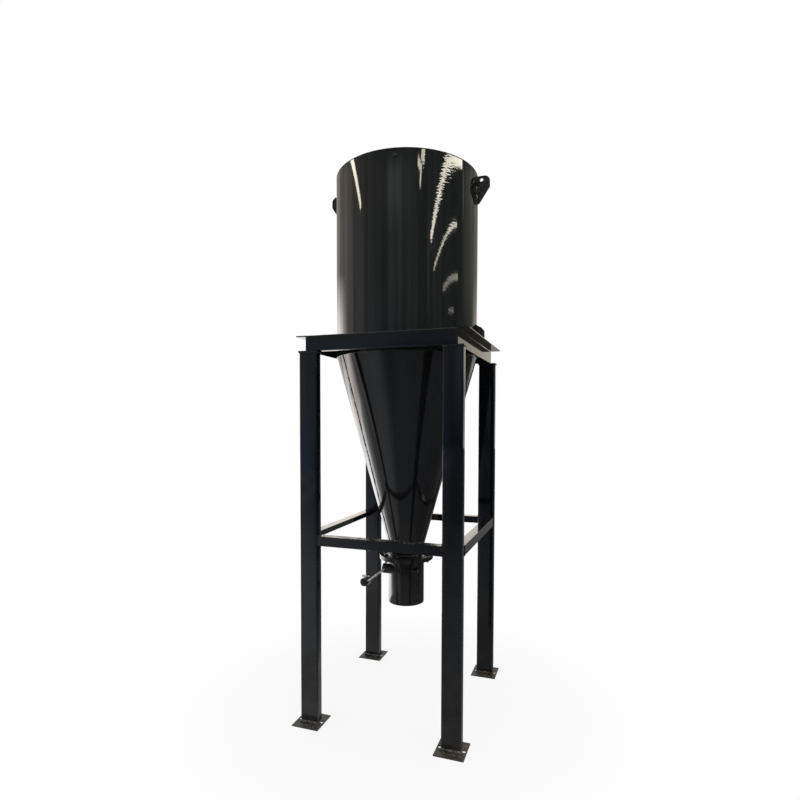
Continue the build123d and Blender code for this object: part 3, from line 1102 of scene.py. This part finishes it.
def dress_kept_nodes():
    """Paint and broken edges on the nodes that no piece replaces."""
    kept = {
        STAND_PAINT: [f"{corner}_leg_cap" for corner in CORNERS]
        + [f"{side}_side_angle" for side in SIDES]
        + [f"{side}_brace" for side in ("back", "left", "right")],
        BRACE_PAINT: ["front_brace"],
        PLATE_PAINT: [f"{corner}_base_plate" for corner in CORNERS],
        BRACKET_PAINT: [f"{side}_{kind}" for side in SIDES for kind in ("support_ear", "lifting_lug")],
        DRUM_PAINT: ["inlet_duct", "inlet_flange"],
        VALVE_PAINT: ["seat_ring", "flap"],
    }
    for material, names in kept.items():
        for name in names:
            node = nodes[name]
            node.data.materials.clear()
            node.data.materials.append(material)
            weld = node.modifiers.new("merged_corners", "WELD")
            weld.merge_threshold = MERGE_DISTANCE
            bevel = node.modifiers.new("broken_edges", "BEVEL")
            bevel.width = NODE_EDGE
            bevel.segments = 2
            bevel.limit_method = "ANGLE"
            bevel.angle_limit = SHARP


# Camera, floor and light


def camera_level():
    """The level directions to the right of the camera and ahead of it."""
    right = Vector((math.cos(CAMERA_YAW), math.sin(CAMERA_YAW), 0))
    ahead = Vector((-math.sin(CAMERA_YAW), math.cos(CAMERA_YAW), 0))
    return right, ahead


def make_camera():
    right, ahead = camera_level()
    up = Vector((0, 0, 1))
    look = ahead * math.cos(CAMERA_PITCH) + up * math.sin(CAMERA_PITCH)
    level_head = up * math.cos(CAMERA_PITCH) - ahead * math.sin(CAMERA_PITCH)
    side = right * math.cos(CAMERA_ROLL) + level_head * math.sin(CAMERA_ROLL)
    head = level_head * math.cos(CAMERA_ROLL) - right * math.sin(CAMERA_ROLL)
    data = bpy.data.cameras.new("photograph_view")
    data.sensor_width = SENSOR
    data.lens = FOCAL_PIXELS / IMAGE_SIDE * SENSOR
    data.shift_x = (IMAGE_SIDE / 2 - IMAGE_CENTRE[0]) / IMAGE_SIDE
    data.shift_y = (IMAGE_CENTRE[1] - IMAGE_SIDE / 2) / IMAGE_SIDE
    data.clip_end = FAR_CLIP
    camera = bpy.data.objects.new("photograph_view", data)
    turn = Matrix((side, head, -look)).transposed().to_4x4()
    camera.matrix_world = Matrix.Translation(CAMERA_PLACE) @ turn
    bpy.context.scene.collection.objects.link(camera)
    bpy.context.scene.camera = camera


def seen_directly(tree):
    """1 for rays from the camera, from a mirror surface or through glass."""
    path = tree.nodes.new("ShaderNodeLightPath")
    mirror = maths(tree, "MAXIMUM", path.outputs["Is Camera Ray"], path.outputs["Is Glossy Ray"])
    return maths(tree, "MAXIMUM", mirror, path.outputs["Is Transmission Ray"])


def bare_material(name):
    """A material without its shader, its tree and the socket that a shader goes to."""
    material, tree = new_material(name)
    tree.nodes.remove(tree.nodes["Principled BSDF"])
    return material, tree, tree.nodes["Material Output"].inputs["Surface"]


def make_floor():
    """A pale floor that is white where it is seen, apart from the object's shadow near its feet."""
    start_clean()
    bpy.ops.mesh.primitive_circle_add(vertices=STAGE_STEPS, radius=FLOOR_RADIUS, fill_type="NGON")
    floor = settle(bpy.context.object, "studio_floor")
    material, tree, surface = bare_material("pale_floor")
    matt = add(tree, "ShaderNodeBsdfDiffuse", Color=(*FLOOR_GREY, 1))
    white = add(tree, "ShaderNodeEmission", Color=(1, 1, 1, 1), Strength=1.0)
    mix = tree.nodes.new("ShaderNodeMixShader")
    length = add(tree, "ShaderNodeVectorMath", operation="LENGTH")
    tree.links.new(object_place(tree), length.inputs[0])
    fade = spread(tree, length.outputs["Value"], (0.5, 1.5), (0.88, 1.0))
    tree.links.new(maths(tree, "MULTIPLY", seen_directly(tree), fade), mix.inputs[0])
    tree.links.new(matt.outputs[0], mix.inputs[1])
    tree.links.new(white.outputs[0], mix.inputs[2])
    tree.links.new(mix.outputs[0], surface)
    floor.data.materials.append(material)


def make_world():
    """White where it is seen, and a plain level of light from all round."""
    world = bpy.data.worlds.new("studio")
    bpy.context.scene.world = world
    world.use_nodes = True
    tree = world.node_tree
    sky = tree.nodes["Background"]
    sky.inputs["Color"].default_value = (1, 1, 1, 1)
    seen = maths(tree, "MULTIPLY", seen_directly(tree), 1 - STUDIO_LIGHT)
    tree.links.new(maths(tree, "ADD", seen, STUDIO_LIGHT), sky.inputs["Strength"])


def tones_by_direction(tree, place, stops):
    """A colour that changes with the direction, in degrees to the right of the camera's side."""
    facing = add(tree, "ShaderNodeMapping", Rotation=(0, 0, -CAMERA_YAW))
    tree.links.new(place, facing.inputs["Vector"])
    spot = split(tree, facing.outputs["Vector"])
    towards = maths(tree, "MULTIPLY", spot["Y"], -1.0)
    turn = maths(tree, "ARCTAN2", spot["X"], towards)
    ramp = tree.nodes.new("ShaderNodeValToRGB")
    tree.links.new(maths(tree, "ADD", maths(tree, "DIVIDE", turn, 2 * math.pi), 0.5), ramp.inputs["Fac"])
    points = ramp.color_ramp.elements
    while len(points) < len(stops):
        points.new(0.5)
    for point, (degrees, *tone) in zip(points, stops):
        red, green, blue = tone if len(tone) == 3 else tone * 3
        point.position = degrees / 360 + 0.5
        point.color = (red, green, blue, 1)
    return ramp.outputs["Color"]


def reflection_glow(name, low, low_stops, high, high_stops):
    """Glow of a reflection card, which is no lamp: a painted reflection whose tone changes with the
    direction and from one height to another, in painted folds.
    """
    material, tree, surface = bare_material(name)
    place = object_place(tree)
    climb = tree.nodes.new("ShaderNodeMapRange")
    climb.inputs["From Min"].default_value = low
    climb.inputs["From Max"].default_value = high
    tree.links.new(split(tree, place)["Z"], climb.inputs["Value"])
    low_tone = tones_by_direction(tree, place, low_stops)
    high_tone = tones_by_direction(tree, place, high_stops)
    # painted shade of folds, in the strength of the glow
    painted_folds = spread(tree, noise(tree, place, PAINTED_FOLD_SCALE, 1.0, PAINTED_FOLD_STRETCH), (0.32, 0.68), (0.72, 1.28))
    glow = tree.nodes.new("ShaderNodeEmission")
    tree.links.new(blended(tree, climb.outputs["Result"], low_tone, high_tone), glow.inputs["Color"])
    tree.links.new(painted_folds, glow.inputs["Strength"])
    tree.links.new(glow.outputs[0], surface)
    return material


def hang(card, material):
    """Puts a glowing card up as stage, seen in the mirror of the gloss paint only, where it paints
    reflections.
    """
    card.data.materials.append(material)
    for ray in ("camera", "diffuse", "shadow", "transmission", "volume_scatter"):
        setattr(card, f"visible_{ray}", False)


def reflection_wall(name, low, low_stops, high, high_stops):
    """A ring of glowing card far round the object, for painted reflections."""
    start_clean()
    bpy.ops.mesh.primitive_circle_add(vertices=STAGE_STEPS, radius=SURROUND, location=(0, 0, low))
    wall = settle(bpy.context.object, name)
    bpy.ops.object.mode_set(mode="EDIT")
    bpy.ops.mesh.select_all(action="SELECT")
    bpy.ops.mesh.extrude_edges_move(TRANSFORM_OT_translate={"value": (0, 0, high - low)})
    bpy.ops.object.mode_set(mode="OBJECT")
    hang(wall, reflection_glow(name, low, low_stops, high, high_stops))


def reflection_floor_card(name, inner, outer, stops):
    """A glowing card on the floor, a disc or a ring, for painted reflections."""
    start_clean()
    fill = "NOTHING" if inner else "NGON"
    centre = (0, 0, REFLECTION_CARD_LIFT)
    bpy.ops.mesh.primitive_circle_add(vertices=STAGE_STEPS, radius=outer, fill_type=fill, location=centre)
    mat = settle(bpy.context.object, name)
    if inner:
        bpy.ops.object.mode_set(mode="EDIT")
        bpy.ops.mesh.select_all(action="SELECT")
        bpy.ops.mesh.extrude_edges_move(TRANSFORM_OT_translate={"value": (0, 0, 0)})
        bpy.ops.transform.resize(value=(inner / outer, inner / outer, 1), center_override=centre)
        bpy.ops.object.mode_set(mode="OBJECT")
    hang(mat, reflection_glow(name, 0, stops, 1, stops))


def make_surround():
    """Glowing cards that the gloss paint mirrors, which paint its reflections: dark before the object, pale
    behind it.
    """
    for count, ((low, low_stops), (high, high_stops)) in enumerate(zip(WALL_ROWS, WALL_ROWS[1:])):
        reflection_wall(f"surround_{count + 1}", low, low_stops, high, high_stops)
    reflection_floor_card("under_reflection_card", 0.0, UNDER_REFLECTION_CARD, UNDER_FLOOR_TONES)
    reflection_floor_card("near_reflection_card", UNDER_REFLECTION_CARD, NEAR_REFLECTION_CARD, NEAR_FLOOR_TONES)
    reflection_floor_card("far_reflection_card", NEAR_REFLECTION_CARD, SURROUND, FAR_FLOOR_TONES)


def strip_light(name, height, start, end, width, radiance):
    """A long lamp that hangs level between two places."""
    right, ahead = camera_level()
    near = right * start[0] - ahead * start[1]
    far = right * end[0] - ahead * end[1]
    run = far - near
    data = bpy.data.lights.new(name, "AREA")
    data.shape = "RECTANGLE"
    data.size = run.length
    data.size_y = width
    data.color = STRIP_COLOUR
    data.energy = radiance * math.pi * run.length * width
    lamp = bpy.data.objects.new(name, data)
    lamp.location = (near + far) / 2 + at_height(height)
    lamp.rotation_euler = (0, 0, math.atan2(run.y, run.x))
    lamp.visible_camera = False
    bpy.context.scene.collection.objects.link(lamp)


def make_lights():
    """Long strip lights overhead on both sides."""
    for name, strip in STRIPS.items():
        strip_light(name, *strip)


make_drum()
make_lid_and_outlet()
make_drum_welds()
make_cone()
make_discharge()
make_flange_bolts()
make_bearings()
make_bent_lever()
make_counterweight()
make_wing_screw()
make_stand()
make_stand_welds()
make_bracket_welds()
make_drum_plug()
dress_kept_nodes()
make_floor()
make_world()
make_surround()
make_lights()
make_camera()

bpy.context.scene.view_settings.view_transform = "Standard"
